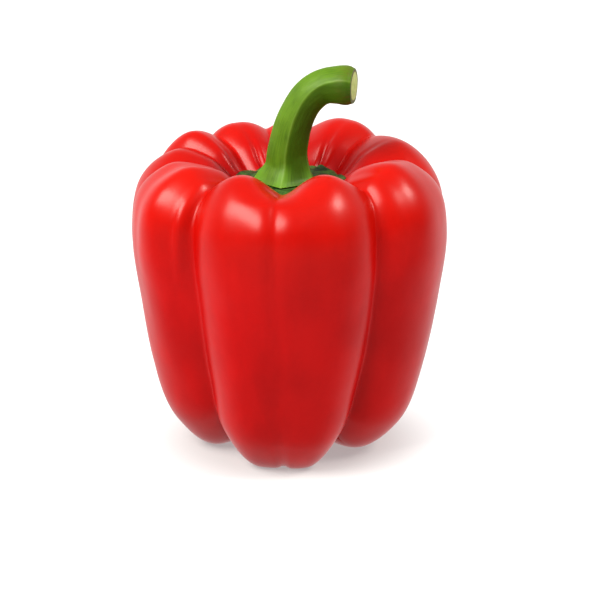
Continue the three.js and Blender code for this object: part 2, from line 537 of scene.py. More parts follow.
def smooth_line(points: Sequence[Vector], steps: int) -> tuple[list[Vector], list[Vector]]:
    """A centripetal Catmull-Rom curve through points.

    Args:
        points: a lead-in point, the points to pass through, and a lead-out point.
        steps: how many steps there are between two points.

    Returns:
        The points of the curve, and its directions there.
    """
    places, directions = [], []
    for before, start, stop, after in zip(points, points[1:], points[2:], points[3:]):
        first, middle, last = (
            math.sqrt((b - a).length) for a, b in ((before, start), (start, stop), (stop, after))
        )
        along = (stop - start) / middle
        leave = (start - before) / first - (stop - before) / (first + middle) + along
        arrive = along - (after - start) / (middle + last) + (after - stop) / last
        leave, arrive = leave * middle, arrive * middle
        square = 3 * (stop - start) - 2 * leave - arrive
        cube = 2 * (start - stop) + leave + arrive
        final = len(places) // steps == len(points) - 4
        for step in range(steps + 1 if final else steps):
            t = step / steps
            places.append(start + leave * t + square * t**2 + cube * t**3)
            directions.append((leave + 2 * square * t + 3 * cube * t**2).normalized())
    return places, directions


# ---- Finishes ----


@dataclass(frozen=True)
class WaxySkin:
    """Ripe red skin under a thin, clear wax."""

    # dark red: the dark end of the random tone, and the colour of the painted shade in the furrows
    deep: Colour = (0.36, 0.0006, 0.0008, 1.0)
    bright: Colour = (0.445, 0.0012, 0.0010, 1.0)
    # lighter, warmer red: the painted light on the crest and shoulders, and the tint of the pale
    # pores
    pore_tint_and_painted_light: Colour = (0.50, 0.015, 0.002, 1.0)
    scar: Colour = (0.14, 0.055, 0.018, 1.0)
    gloss: float = 0.285
    gloss_spread: float = 0.045
    # scales of the textures, in blotches to the metre, and depths of the relief
    blotches: float = 34.0
    streaks: float = 260.0
    streak_stretch: tuple[float, float, float] = (1.0, 1.0, 0.18)
    flecks: float = 900.0
    pores: float = 520.0
    waves: float = 75.0
    wave_depth: float = 0.5 * MM
    peel: float = 1500.0
    peel_depth: float = 0.012 * MM

    def material(self) -> bpy.types.Material:
        """Makes the material.

        Returns:
            The skin, which reads the furrow and station values of the fruit's mesh.
        """
        f = Finish("waxy_red_skin")
        place = f.place()
        blotch = f.noise(place, self.blotches, 3.0)
        drawn_out = f.vector_maths("MULTIPLY", place, self.streak_stretch)
        streak = f.noise(drawn_out, self.streaks, 3.0, 0.6)
        fleck = f.noise(place, self.flecks, 2.0, 0.6)
        tone = f.smooth(blotch * 0.7 + streak * 0.2 + fleck * 0.1, 0.36, 0.64)
        red = f.mix(tone, self.deep, self.bright)
        station = f.attribute("station")
        # painted light: the crest and shoulders are made lighter and warmer in colour
        shoulder = f.smooth(station, 2.0, 4.0) * f.smooth(station, 8.0, 5.0)
        painted_shoulder_light = f.mix(shoulder * 0.45 * (blotch + 0.3), red, self.pore_tint_and_painted_light)
        # painted shade: the skin is darkened towards the dark red where its furrows are deep
        furrow = f.smooth(f.attribute("furrow"), 0.03, 0.2)
        painted_shade = f.mix(furrow * 0.35, painted_shoulder_light, self.deep)
        sockets = {"Vector": place, "Scale": self.pores}
        pores = f.node("ShaderNodeTexVoronoi", {"feature": "F1"}, sockets, "Distance")
        pale = f.mix(f.smooth(pores, 0.14, 0.05) * 0.10 * blotch, painted_shade, self.pore_tint_and_painted_light)
        healed = f.smooth(station, 12.62, 12.78) * f.smooth(fleck + streak, 0.7, 1.1)
        colour = f.mix(healed, pale, self.scar)
        dull = self.gloss + self.gloss_spread * f.noise(place, 60.0, 4.0) + healed * 0.3
        wave = f.bump(f.noise(place, self.waves), self.wave_depth, 0.30)
        peel = f.bump(f.noise(place, self.peel, 2.0, 0.6), self.peel_depth, 0.6, wave)
        return f.shade(
            Base_Color=colour,
            Roughness=dull,
            Normal=peel,
            Specular_IOR_Level=0.30,
            Subsurface_Weight=0.06,
            Subsurface_Radius=(1.0, 0.12, 0.06),
            Subsurface_Scale=2.5 * MM,
        )


@dataclass(frozen=True)
class CalyxLeaf:
    """Dark, crinkled, leathery green of the calyx."""

    # painted shade: the dark green of the crinkle's valleys; ridge is the green of its tops
    crinkle_shade: Colour = (0.010, 0.030, 0.006, 1.0)
    ridge: Colour = (0.055, 0.135, 0.022, 1.0)
    vein: Colour = (0.13, 0.23, 0.05, 1.0)
    dry: Colour = (0.12, 0.10, 0.03, 1.0)

    def material(self) -> bpy.types.Material:
        """Makes the material.

        Returns:
            The calyx's finish, which reads how far out a point of it lies.
        """
        f = Finish("calyx_green")
        place = f.place()
        crinkle = f.noise(place, 330.0, 4.0, 0.62)
        # painted shade: darker in the valleys of the crinkle relief, lighter on its ridges
        tone = f.smooth(crinkle, 0.36, 0.66)
        green = f.mix(tone, self.crinkle_shade, self.ridge)
        out = f.attribute("out")
        veins = f.smooth(f.attribute("rib"), 0.75, 1.0) * f.smooth(out, 0.3, 0.6)
        veined = f.mix(veins * 0.4 * tone, green, self.vein)
        edge = f.smooth(out, 0.93, 1.0) * f.smooth(f.noise(place, 240.0, 2.0), 0.45, 0.6)
        colour = f.mix(edge * 0.7, veined, self.dry)
        folds = f.bump(crinkle, 0.6 * MM, 0.8)
        grain = f.bump(f.noise(place, 2600.0, 2.0), 0.03 * MM, 0.6, folds)
        return f.shade(
            Base_Color=colour,
            Roughness=0.42 + 0.25 * crinkle,
            Normal=grain,
            Specular_IOR_Level=0.4,
        )


@dataclass(frozen=True)
class StemBark:
    """Fresh green stem, ribbed lengthwise, paler at its foot, with a dry pale cut end."""

    # dark green: the dark end of the random tone, and the colour of the painted shade on the stem's
    # right side and underside
    shade: Colour = (0.036, 0.092, 0.002, 1.0)
    green: Colour = (0.108, 0.212, 0.010, 1.0)
    foot: Colour = (0.115, 0.262, 0.010, 1.0)
    rib: Colour = (0.175, 0.285, 0.055, 1.0)
    cork: Colour = (0.085, 0.045, 0.010, 1.0)
    pith: Colour = (0.480, 0.480, 0.220, 1.0)
    fibre_stretch: tuple[float, float, float] = (90.0, 7.0, 1.0)  # fibres around and along

    def material(self) -> bpy.types.Material:
        """Makes the material.

        Returns:
            The stem's finish, which reads the values of the stem's mesh.
        """
        f = Finish("stem_green")
        place = f.place()
        along, rib, cut = (f.attribute(name) for name in ("along", "rib", "cut"))
        chart = f.node("ShaderNodeUVMap", {"uv_map": "UVMap"})
        fibre = f.noise(f.vector_maths("MULTIPLY", chart, self.fibre_stretch), 1.0, 4.0, 0.6)
        blotch = f.noise(place, 160.0, 3.0)
        tone = f.smooth(fibre * 0.5 + blotch * 0.5, 0.30, 0.66)
        tinted = f.mix(0.35 + 0.65 * tone, self.shade, self.green)
        # painted shade: the stem's right side and underside are darkened towards the dark green
        green = f.mix(f.attribute("painted_shade") * 0.72, tinted, self.shade)
        flare = f.smooth(along, 0.17, 0.03) * f.smooth(rib + fibre, 0.75, 1.35)
        paler = f.mix(flare * 0.8, green, self.foot)
        ridge = f.smooth(rib, 0.86, 1.0) * (0.3 + 0.7 * fibre)
        ribbed = f.mix(ridge * 0.55, paler, self.rib)
        corky = f.smooth(along, 0.84, 0.99) * f.smooth(fibre + blotch * 0.4, 0.52, 0.86)
        aged = f.mix(corky * 0.55, ribbed, self.cork)
        rings = f.noise(place, 700.0, 3.0)
        face = f.mix(rings * 0.6, self.pith, self.green)
        skin_rim = f.smooth(cut, 0.02, 0.12) * f.smooth(cut, 0.24, 0.14)
        end = f.mix(f.smooth(cut, 0.1, 0.25), aged, face)
        colour = f.mix(skin_rim * 0.8, end, self.cork)
        lines = f.bump(fibre, 0.10 * MM, 0.6)
        grain = f.bump(f.noise(place, 2200.0, 2.0), 0.03 * MM, 0.5, lines)
        return f.shade(
            Base_Color=colour,
            Roughness=0.40 + 0.15 * blotch + 0.3 * f.smooth(cut, 0.1, 0.25),
            Normal=grain,
            Specular_IOR_Level=0.26,
            Subsurface_Weight=0.05,
            Subsurface_Radius=(0.5, 1.0, 0.2),
            Subsurface_Scale=1.5 * MM,
        )


@dataclass(frozen=True)
class TablePaper:
    """Matt white paper under the pepper."""

    white: Colour = (0.34, 0.34, 0.34, 1.0)
    shade: Colour = (0.32, 0.32, 0.32, 1.0)
    # It glows, so that shadows on it are faint, and glows less round the pepper's foot: a painted
    # contact shadow.
    glow: Colour = (0.66, 0.66, 0.66, 1.0)
    painted_shadow_glow: Colour = (0.34, 0.33, 0.33, 1.0)
    painted_shadow_radius: float = 24 * MM
    glow_radius: float = 50 * MM

    def material(self) -> bpy.types.Material:
        """Makes the material.

        Returns:
            The paper, faintly cloudy, with a painted contact shadow of dimmer glow under the
            pepper.
        """
        f = Finish("table_paper")
        cloud = f.noise(f.place(), 12.0, 2.0)
        away = f.vector_maths("LENGTH", f.place()).output("Value")
        # painted contact shadow: the glow is dimmer near the pepper's axis
        edge = f.smooth(away, self.painted_shadow_radius, self.glow_radius)
        return f.shade(
            Base_Color=f.mix(cloud, self.white, self.shade),
            Roughness=0.9,
            Specular_IOR_Level=0.1,
            Emission_Color=f.mix(edge, self.painted_shadow_glow, self.glow),
            Emission_Strength=1.0,
        )


# ---- Fruit ----

# Stations along a lobe, from the middle of the stem hollow (0) over the crest (4), the shoulder
# (6) and the flank (8) to the tip it stands on (11) and the blossom scar (13). Depths and
# heights are given at these.
STATIONS = (0.0, 2.0, 4.0, 6.0, 8.0, 9.5, 11.0, 12.0, 13.0)
LAST_STATION = STATIONS[-1]
DEPTH_TITLES = tuple(f"At {station:g}" for station in STATIONS[1:-1])
Depths = tuple[float, ...]  # at the stations from 2 on; what is left out is 0


@dataclass(frozen=True)
class Furrow:
    """A furrow between lobes. Lengths are shares of the crest radius, and angles are degrees."""

    bearings: tuple[float, float, float]  # at the crest, the flank and the tip
    ahead: tuple[float, float]  # how wide it is towards higher bearings, at the crest and the tip
    behind: tuple[float, float]  # and towards lower bearings
    depths: Depths
    rounding: float = 0.06
    end: float = 99.0  # station by which it has faded out; from 99 on, it never does


@dataclass(frozen=True)
class Swelling:
    """A soft rise of the skin. Lengths are shares of the crest radius, and angles are degrees."""

    at: float
    spread: float
    heights: Depths


class SkinRule:
    """The rule of the fruit's skin, as geometry groups that the fruit and the calyx share."""

    VALLEY_POWER = 0.74  # below 1, so the lobes are round and the furrows are sharp
    STEPS = 24  # of the crest outline between two stations
    FADE = 1.3  # stations over which a furrow that ends fades out
    FURROW_TITLES = (
        *("Crest", "Flank", "Tip", "Ahead Crest", "Ahead Tip", "Behind Crest", "Behind Tip"),
        *("Rounding", "End", *DEPTH_TITLES),
    )
    SWELLING_TITLES = ("At", "Spread", *DEPTH_TITLES)

    def __init__(
        self, furrows: Sequence[Furrow], swellings: Sequence[Swelling], middle: Vector
    ) -> None:
        """Builds the groups.

        Args:
            furrows: the furrows of the skin.
            swellings: its swellings.
            middle: the fruit's axis in the row frame, in crest radii.
        """
        self.eased = self._eased()
        self.furrow = self._furrow()
        self.swelling = self._swelling()
        self.skin = self._skin(furrows, swellings, middle)

    @staticmethod
    def _numbers(*titles: str) -> dict[str, Port]:
        """Number inputs of these names."""
        return {title: Port.NUMBER for title in titles}

    def _eased(self) -> bpy.types.NodeTree:
        """Builds the group that eases a value from each station to the next.

        Returns:
            The group.
        """
        g = Growth("eased", self._numbers("Station", *DEPTH_TITLES), self._numbers("Value"))
        station, total, before = g.given("Station"), 0.0, 0.0
        targets = [*(g.given(title) for title in DEPTH_TITLES), 0.0]
        settings = {"interpolation_type": "SMOOTHSTEP"}
        for start, stop, target in zip(STATIONS, STATIONS[1:], targets):
            span = {"From Min": start, "From Max": stop, "To Max": target - before}
            total = total + g.node("ShaderNodeMapRange", settings, {"Value": station, **span})
            before = target
        return g.give(Value=total)

    @staticmethod
    def _turn(bearing: Wire, towards: Wire) -> Wire:
        """Degrees from one bearing to another, between -180 and 180."""
        return (bearing - towards + 540.0).maths("FLOORED_MODULO", 360.0) - 180.0

    def _at_station(self, g: Growth) -> Wire:
        """The eased value of a group's own depth inputs at its station."""
        sockets = {title: g.given(title) for title in ("Station", *DEPTH_TITLES)}
        return g.call(self.eased, sockets, "Value")

    def _furrow(self) -> bpy.types.NodeTree:
        """Builds the group that gives one furrow's depth.

        Returns:
            The group.
        """
        inputs = self._numbers("Bearing", "Station", *self.FURROW_TITLES)
        g = Growth("furrow", inputs, self._numbers("Depth"))
        station = g.given("Station")
        crest, flank, tip, ahead, ahead_tip, behind, behind_tip, rounding, end, *_ = map(
            g.given, self.FURROW_TITLES
        )
        descent = g.smooth(station, 4.0, 11.0)
        bottom = crest + (flank - crest) * g.smooth(station, 4.0, 8.0)
        bottom = bottom + (tip - flank) * g.smooth(station, 8.0, 11.0)
        away = self._turn(g.given("Bearing"), bottom)
        ahead = ahead + (ahead_tip - ahead) * descent
        behind = behind + (behind_tip - behind) * descent
        side = behind + (ahead - behind) * away.maths("GREATER_THAN", 0.0)
        reach = away / side
        share = (reach * reach + rounding * rounding).maths("SQRT").maths("MINIMUM", 1.0)
        left = 1.0 - share
        shape = 1.0 - (1.0 - left * left) ** self.VALLEY_POWER
        ends = {"Value": station, "From Min": end - self.FADE, "From Max": end}
        faded = g.node("ShaderNodeMapRange", {"interpolation_type": "SMOOTHSTEP"}, ends)
        return g.give(Depth=shape * self._at_station(g) * (1.0 - faded))

    def _swelling(self) -> bpy.types.NodeTree:
        """Builds the group that gives one swelling's height.

        Returns:
            The group.
        """
        inputs = self._numbers("Bearing", "Station", *self.SWELLING_TITLES)
        g = Growth("swelling", inputs, self._numbers("Height"))
        share = self._turn(g.given("Bearing"), g.given("At")) / g.given("Spread")
        limited = share.maths("MINIMUM", 1.0).maths("MAXIMUM", -1.0)
        bell = (limited * (math.pi / 2)).maths("COSINE")
        return g.give(Height=bell * bell * self._at_station(g))

    def _depth(
        self, g: Growth, furrows: Sequence[Furrow], swellings: Sequence[Swelling]
    ) -> Wire:
        """Adds up the furrows and takes off the swellings.

        Args:
            g: the group, with inputs "Bearing" and "Station".
            furrows: the furrows of the skin.
            swellings: its swellings.

        Returns:
            How far the skin lies inside the crest outline, in crest radii.
        """
        common = {"Bearing": g.given("Bearing"), "Station": g.given("Station")}
        depth = 0.0
        for furrow in furrows:
            run = (*furrow.bearings, *furrow.ahead, *furrow.behind, furrow.rounding, furrow.end)
            sockets = dict(zip(self.FURROW_TITLES, (*run, *furrow.depths)))
            depth = depth + g.call(self.furrow, {**common, **sockets}, "Depth")
        for swelling in swellings:
            values = (swelling.at, swelling.spread, *swelling.heights)
            sockets = dict(zip(self.SWELLING_TITLES, values))
            depth = depth - g.call(self.swelling, {**common, **sockets}, "Height")
        return depth

    def _on_outline(self, g: Growth, value: Wire) -> Wire:
        """Reads the outline at the group's station.

        Args:
            g: the group, with inputs "Outline" and "Station".
            value: the vector that is read.

        Returns:
            The vector there.
        """
        index = g.given("Station") * float(self.STEPS)
        whole = index.maths("FLOOR")
        settings = {"data_type": "FLOAT_VECTOR", "domain": "POINT", "clamp": True}
        sockets = {"Geometry": g.given("Outline"), "Value": value}
        low, high = (
            g.node("GeometryNodeSampleIndex", settings, {**sockets, "Index": i})
            for i in (whole, whole + 1.0)
        )
        return g.mix(index - whole, low, high, "VECTOR")

    def _skin(
        self, furrows: Sequence[Furrow], swellings: Sequence[Swelling], middle: Vector
    ) -> bpy.types.NodeTree:
        """Builds the group that gives the place of the skin at a bearing and station.

        Args:
            furrows: the furrows of the skin.
            swellings: its swellings.
            middle: the fruit's axis in the row frame, in crest radii.

        Returns:
            The group.
        """
        numbers = self._numbers("Radius", "Bearing", "Station", "Lift", "Followed")
        outputs = {"Position": Port.VECTOR, "Depth": Port.NUMBER}
        g = Growth("skin", {"Outline": Port.GEOMETRY, **numbers}, outputs)
        radius = g.given("Radius")
        depth = self._depth(g, furrows, swellings)
        lowered = depth.maths("MINIMUM", depth * g.given("Followed")) * radius
        point, _, level = g.parts(self._on_outline(g, g.node("GeometryNodeInputPosition")))
        settings = {"data_type": "FLOAT_VECTOR"}
        outward = g.node("GeometryNodeInputNamedAttribute", settings, {"Name": "outward"})
        across, _, up = g.parts(self._on_outline(g, outward))
        rise = g.given("Lift") - lowered
        reach = (point + across * rise).maths("MAXIMUM", 0.0)
        angle = g.given("Bearing").maths("RADIANS")
        place = g.vector(
            reach * angle.maths("COSINE") + radius * middle.x,
            reach * angle.maths("SINE") + radius * middle.y,
            level + up * rise,
        )
        return g.give(Position=place, Depth=depth)


@dataclass
class Fruit(Piece):
    """The red fruit: four lobes with creased shoulders round the stem hollow."""

    NAME, NODE, SLOT = "pepper_fruit", Node.FRUIT, Slot.SKIN
    lowest: Vector
    highest: Vector
    finish: WaxySkin
    sides: int = 380
    rows: int = 240
    unevenness: float = 0.3 * MM
    dents: float = 42.0  # to the metre
    press: float = 0.18 * MM  # how gradually the tips flatten where they stand
    radius_share: float = 0.50552  # crest radius to the fruit's width
    crest_share: float = 0.98842  # crest height to the fruit's height
    middle: Vector = Vector((0.0030, 0.0040))
    outline: tuple[tuple[float, float], ...] = (  # reach in crest radii, height in crest heights
        *((0.0, 0.868), (0.2, 0.87), (0.353, 0.889), (0.512, 0.962), (0.729, 0.998)),
        *((0.891, 0.948), (0.988, 0.864), (1.009, 0.738), (0.963, 0.559), (0.875, 0.309)),
        *((0.743, 0.113), (0.519, 0.001), (0.241, 0.032), (0.0, 0.086)),
    )
    furrows: tuple[Furrow, ...] = (
        # between the four lobes: front right, back right, back left, front left
        Furrow((309.9, 306.6, 303.8), (21.0, 36.6), (35.5, 23.8),
               (0.052, 0.134, 0.168, 0.131, 0.179, 0.258, 0.089), 0.04),
        Furrow((44.2, 46.1, 46.4), (13.2, 36.0), (28.7, 25.4),
               (0.053, 0.06, 0.097, 0.1, 0.155, 0.244, 0.089), 0.04),
        Furrow((131.0, 133.0, 135.1), (22.0, 26.8), (12.0, 36.0),
               (0.058, 0.090, 0.096, 0.101, 0.156, 0.244, 0.089), 0.04),
        Furrow((226.2, 229.4, 224.4), (41.9, 26.8), (17.0, 38.7),
               (0.057, 0.159, 0.167, 0.139, 0.172, 0.25, 0.089), 0.04),
        # creases of the shoulders: front, right, back and left
        Furrow((265.5, 266.2, 266.1), (29.9, 24.2), (28.3, 24.7),
               (0.058, 0.146, 0.10), 0.1, 5.2),
        Furrow((264.8, 265.0, 266.1), (6.0, 24.2), (4.0, 24.7),
               (0.0, 0.01, 0.034, 0.012, 0.007, 0.028, 0.007), 0.1),
        Furrow((2.1, 1.1, 0.5), (18.6, 18.7), (23.3, 21.7),
               (0.043, 0.103, 0.063, 0.007, 0.003, 0.01, 0.007), 0.07),
        Furrow((80.2, 88.0, 88.0), (14.0, 14.0), (20.1, 16.0),
               (0.033, 0.077, 0.033, 0.007, 0.002, 0.009, 0.004), 0.1),
        Furrow((102.2, 96.8, 92.0), (14.4, 14.0), (16.0, 14.0),
               (0.033, 0.084, 0.033, 0.007, 0.002), 0.1),
        Furrow((156.5, 160.0, 165.0), (16.0, 13.5), (10.0, 14.7),
               (0.047, 0.112, 0.06, 0.009, 0.002), 0.07),
        Furrow((180.7, 186.5, 181.9), (13.2, 14.5), (23.8, 15.4),
               (0.031, 0.098, 0.036, 0.009, 0.0, 0.011, 0.007), 0.07),
    )
    swellings: tuple[Swelling, ...] = (
        Swelling(246, 26, (-0.002, 0.069, 0.044, 0.006, 0.014)),
        Swelling(287, 23, (-0.002, 0.057, 0.030, 0.002, 0.010, -0.009)),
        Swelling(64, 20, (0.0, 0.029, 0.006, 0.0, 0.0, 0.01)),
        Swelling(145, 21, (-0.007, 0.020, -0.006)),
        Swelling(26, 24, (0.001, 0.0, -0.019, 0.0, 0.0, 0.013)),
        Swelling(336, 24, (0.013, 0.012, 0.003, 0.009, 0.018)),
        Swelling(169, 17, (-0.006, -0.008, 0.0, 0.005, 0.0, 0.005)),
        Swelling(204, 22, (0.016, -0.017, 0.006, 0.004, 0.020, 0.004)),
        Swelling(268, 40, (0.006, -0.02, -0.004, 0.011, 0.007, 0.027)),
        Swelling(350, 40, (0.02, -0.022, -0.004, -0.005, -0.012, -0.03)),
        Swelling(188, 40, (0.016, -0.036, -0.012, -0.001, 0.0, 0.003)),
        # narrow folds beside the two front furrows, and ribs down the wall of the hollow
        Swelling(314, 7, (0.0, 0.014, 0.010)),
        Swelling(223.5, 3.5, (0.0, 0.006, 0.024)),
        Swelling(266, 17, (0.0, 0.0, 0.050, 0.014)),
        Swelling(328, 15, (0.010, 0.018, 0.012)),
        Swelling(211, 12, (0.010, 0.020, 0.030, 0.012)),
        Swelling(53, 8, (0.016, 0.004)),
        Swelling(61, 5, (-0.022,)),
        Swelling(118, 5, (-0.018,)),
        Swelling(146, 5, (-0.012,)),
        Swelling(22, 5, (-0.012,)),
        Swelling(266, 5, (0.0, 0.0, -0.002, -0.003, -0.002, -0.012, -0.008)),
    )
    rule: SkinRule = field(init=False)

    def __post_init__(self) -> None:
        """Builds the rule of the skin, which the calyx follows too."""
        self.rule = SkinRule(self.furrows, self.swellings, self.middle)

    @property
    def radius(self) -> float:
        """Crest radius, in metres."""
        return (self.highest.x - self.lowest.x) * self.radius_share

    def guide(self) -> bpy.types.Mesh:
        """Draws the crest outline.

        Returns:
            The outline, with the direction that is outwards at each point.
        """
        crest = (self.highest.z - self.lowest.z) * self.crest_share
        points = [
            Vector((share * self.radius, 0.0, height * crest)) for share, height in self.outline
        ]
        flip = Matrix.Scale(-1.0, 3, Vector((1.0, 0.0, 0.0)))
        through = [flip @ points[1], *points, flip @ points[-2]]
        places, directions = smooth_line(through, SkinRule.STEPS)
        outward = [Vector((-direction.z, 0.0, direction.x)) for direction in directions]
        return guide_line("crest_outline", places, {"outward": outward})

    def sizes(self) -> Sizes:
        """The named number inputs of the growth tree."""
        lengths = {"Radius": self.radius, "Unevenness": self.unevenness, "Press": self.press}
        return {"Sides": self.sides, "Rows": self.rows, **lengths}

    def growth(self) -> Growth:
        """The tree that wraps a sheet into the fruit.

        Returns:
            The finished tree.
        """
        g, sheet, bearing, share = self.start("Outline")
        station = share * LAST_STATION
        sockets = {"Outline": g.given("Outline"), "Radius": g.given("Radius"), "Bearing": bearing}
        skin = g.call(self.rule.skin, {**sockets, "Station": station, "Followed": 1.0}, "Position")
        # the skin reads the stored station for its painted shoulder light and blossom scar, and the
        # stored furrow depth for its painted furrow shade
        wrapped = g.store(g.moved(sheet, skin), "station", station)
        closed = g.closed(g.store(wrapped, "furrow", skin.output("Depth")))
        place = g.node("GeometryNodeInputPosition")
        dents = (g.noise(place, self.dents) - 0.5) * g.given("Unevenness") * 2.0
        uneven = g.pushed(closed, dents)
        x, y, height = g.parts(place)
        press = g.given("Press")
        pressed = (height + (height * height + press * press).maths("SQRT")) * 0.5
        level = g.moved(uneven, g.vector(x, y, pressed))
        g.finished(level, self.finish.material())
        return g


# ---- Calyx ----


@dataclass
class Calyx(Piece):
    """The thin green cap in the stem hollow, toothed and crinkled, with a level middle."""

    NAME, NODE, SLOT = "pepper_calyx", Node.CALYX, Slot.CALYX
    fruit: Fruit
    seat: float  # height of the level middle that carries the stem
    finish: CalyxLeaf
    sides: int = 280
    rows: int = 64
    rim_station: float = 2.0
    teeth: int = 7
    tooth_reach: float = 0.16  # in stations
    thickness: float = 1.4 * MM
    rim_thickness: float = 1.0 * MM
    gap: float = 0.3 * MM
    crinkle: float = 0.8 * MM
    rib_height: float = 0.5 * MM
    ribs: float = 5.0
    first_rib: float = 40.0
    followed: float = 0.35  # how much of the furrows' depth it follows

    def sizes(self) -> Sizes:
        """The named number inputs of the growth tree.

        Returns:
            Each input's value.
        """
        return {
            "Sides": self.sides,
            "Rows": self.rows,
            "Radius": self.fruit.radius,
            "Gap": self.gap,
            "Thickness": self.thickness,
            "Rim Thickness": self.rim_thickness,
            "Seat": self.seat,
            "Crinkle": self.crinkle,
            "Rib Height": self.rib_height,
        }

    def guide(self) -> bpy.types.Mesh:
        """The fruit's own outline."""
        return self.fruit.guide()

    def growth(self) -> Growth:
        """The tree that wraps a sheet into the calyx.

        Returns:
            The finished tree.
        """
        g, sheet, bearing, share = self.start("Outline")
        fold = 1.0 - share * 2.0
        out = 1.0 - fold.maths("ABSOLUTE")
        top = fold.maths("GREATER_THAN", 0.0)
        angle = bearing.maths("RADIANS")
        tooth = (angle * (self.teeth / 2)).maths("COSINE").maths("ABSOLUTE") - 0.5
        circle = g.vector(angle.maths("COSINE"), angle.maths("SINE"), 0.0)
        ragged = (g.noise(circle, 3.0, 3.0) - 0.5) * 0.5
        station = out * (self.rim_station + self.tooth_reach * (tooth + ragged))
        sockets = {"Outline": g.given("Outline"), "Radius": g.given("Radius"), "Bearing": bearing}
        full = g.given("Thickness") + (g.given("Rim Thickness") - g.given("Thickness")) * out
        edge = ((out - 0.9) / 0.1).maths("MAXIMUM", 0.0)
        round_edge = (1.0 - edge * edge).maths("MAXIMUM", 0.0).maths("SQRT") * 0.5
        level = 0.5 + round_edge * (top * 2.0 - 1.0)
        lift = g.given("Gap") + full * level
        followed = {"Station": station, "Lift": lift, "Followed": self.followed}
        skin = g.call(self.fruit.rule.skin, {**sockets, **followed}, "Position")
        x, y, low = g.parts(skin)
        rib = (angle * self.ribs + math.radians(self.first_rib)).maths("COSINE") * 0.5 + 0.5
        outer = g.smooth(out, 0.56, 0.74) * top
        rough = (g.noise(skin, 420.0, 3.0, 0.6) - 0.45) * g.given("Crinkle")
        ribbed = rib * g.given("Rib Height") * g.smooth(out, 0.95, 0.6)
        raised = rough * g.smooth(out, 1.0, 0.86) + ribbed
        middle = g.smooth(out, 0.95, 0.62) * top
        height = low + (g.given("Seat") - low) * middle + raised * outer
        placed = g.moved(sheet, g.vector(x, y, height))
        marked = g.store(g.store(placed, "out", out), "rib", rib)
        g.finished(g.closed(marked), self.finish.material())
        return g


# ---- Stem ----


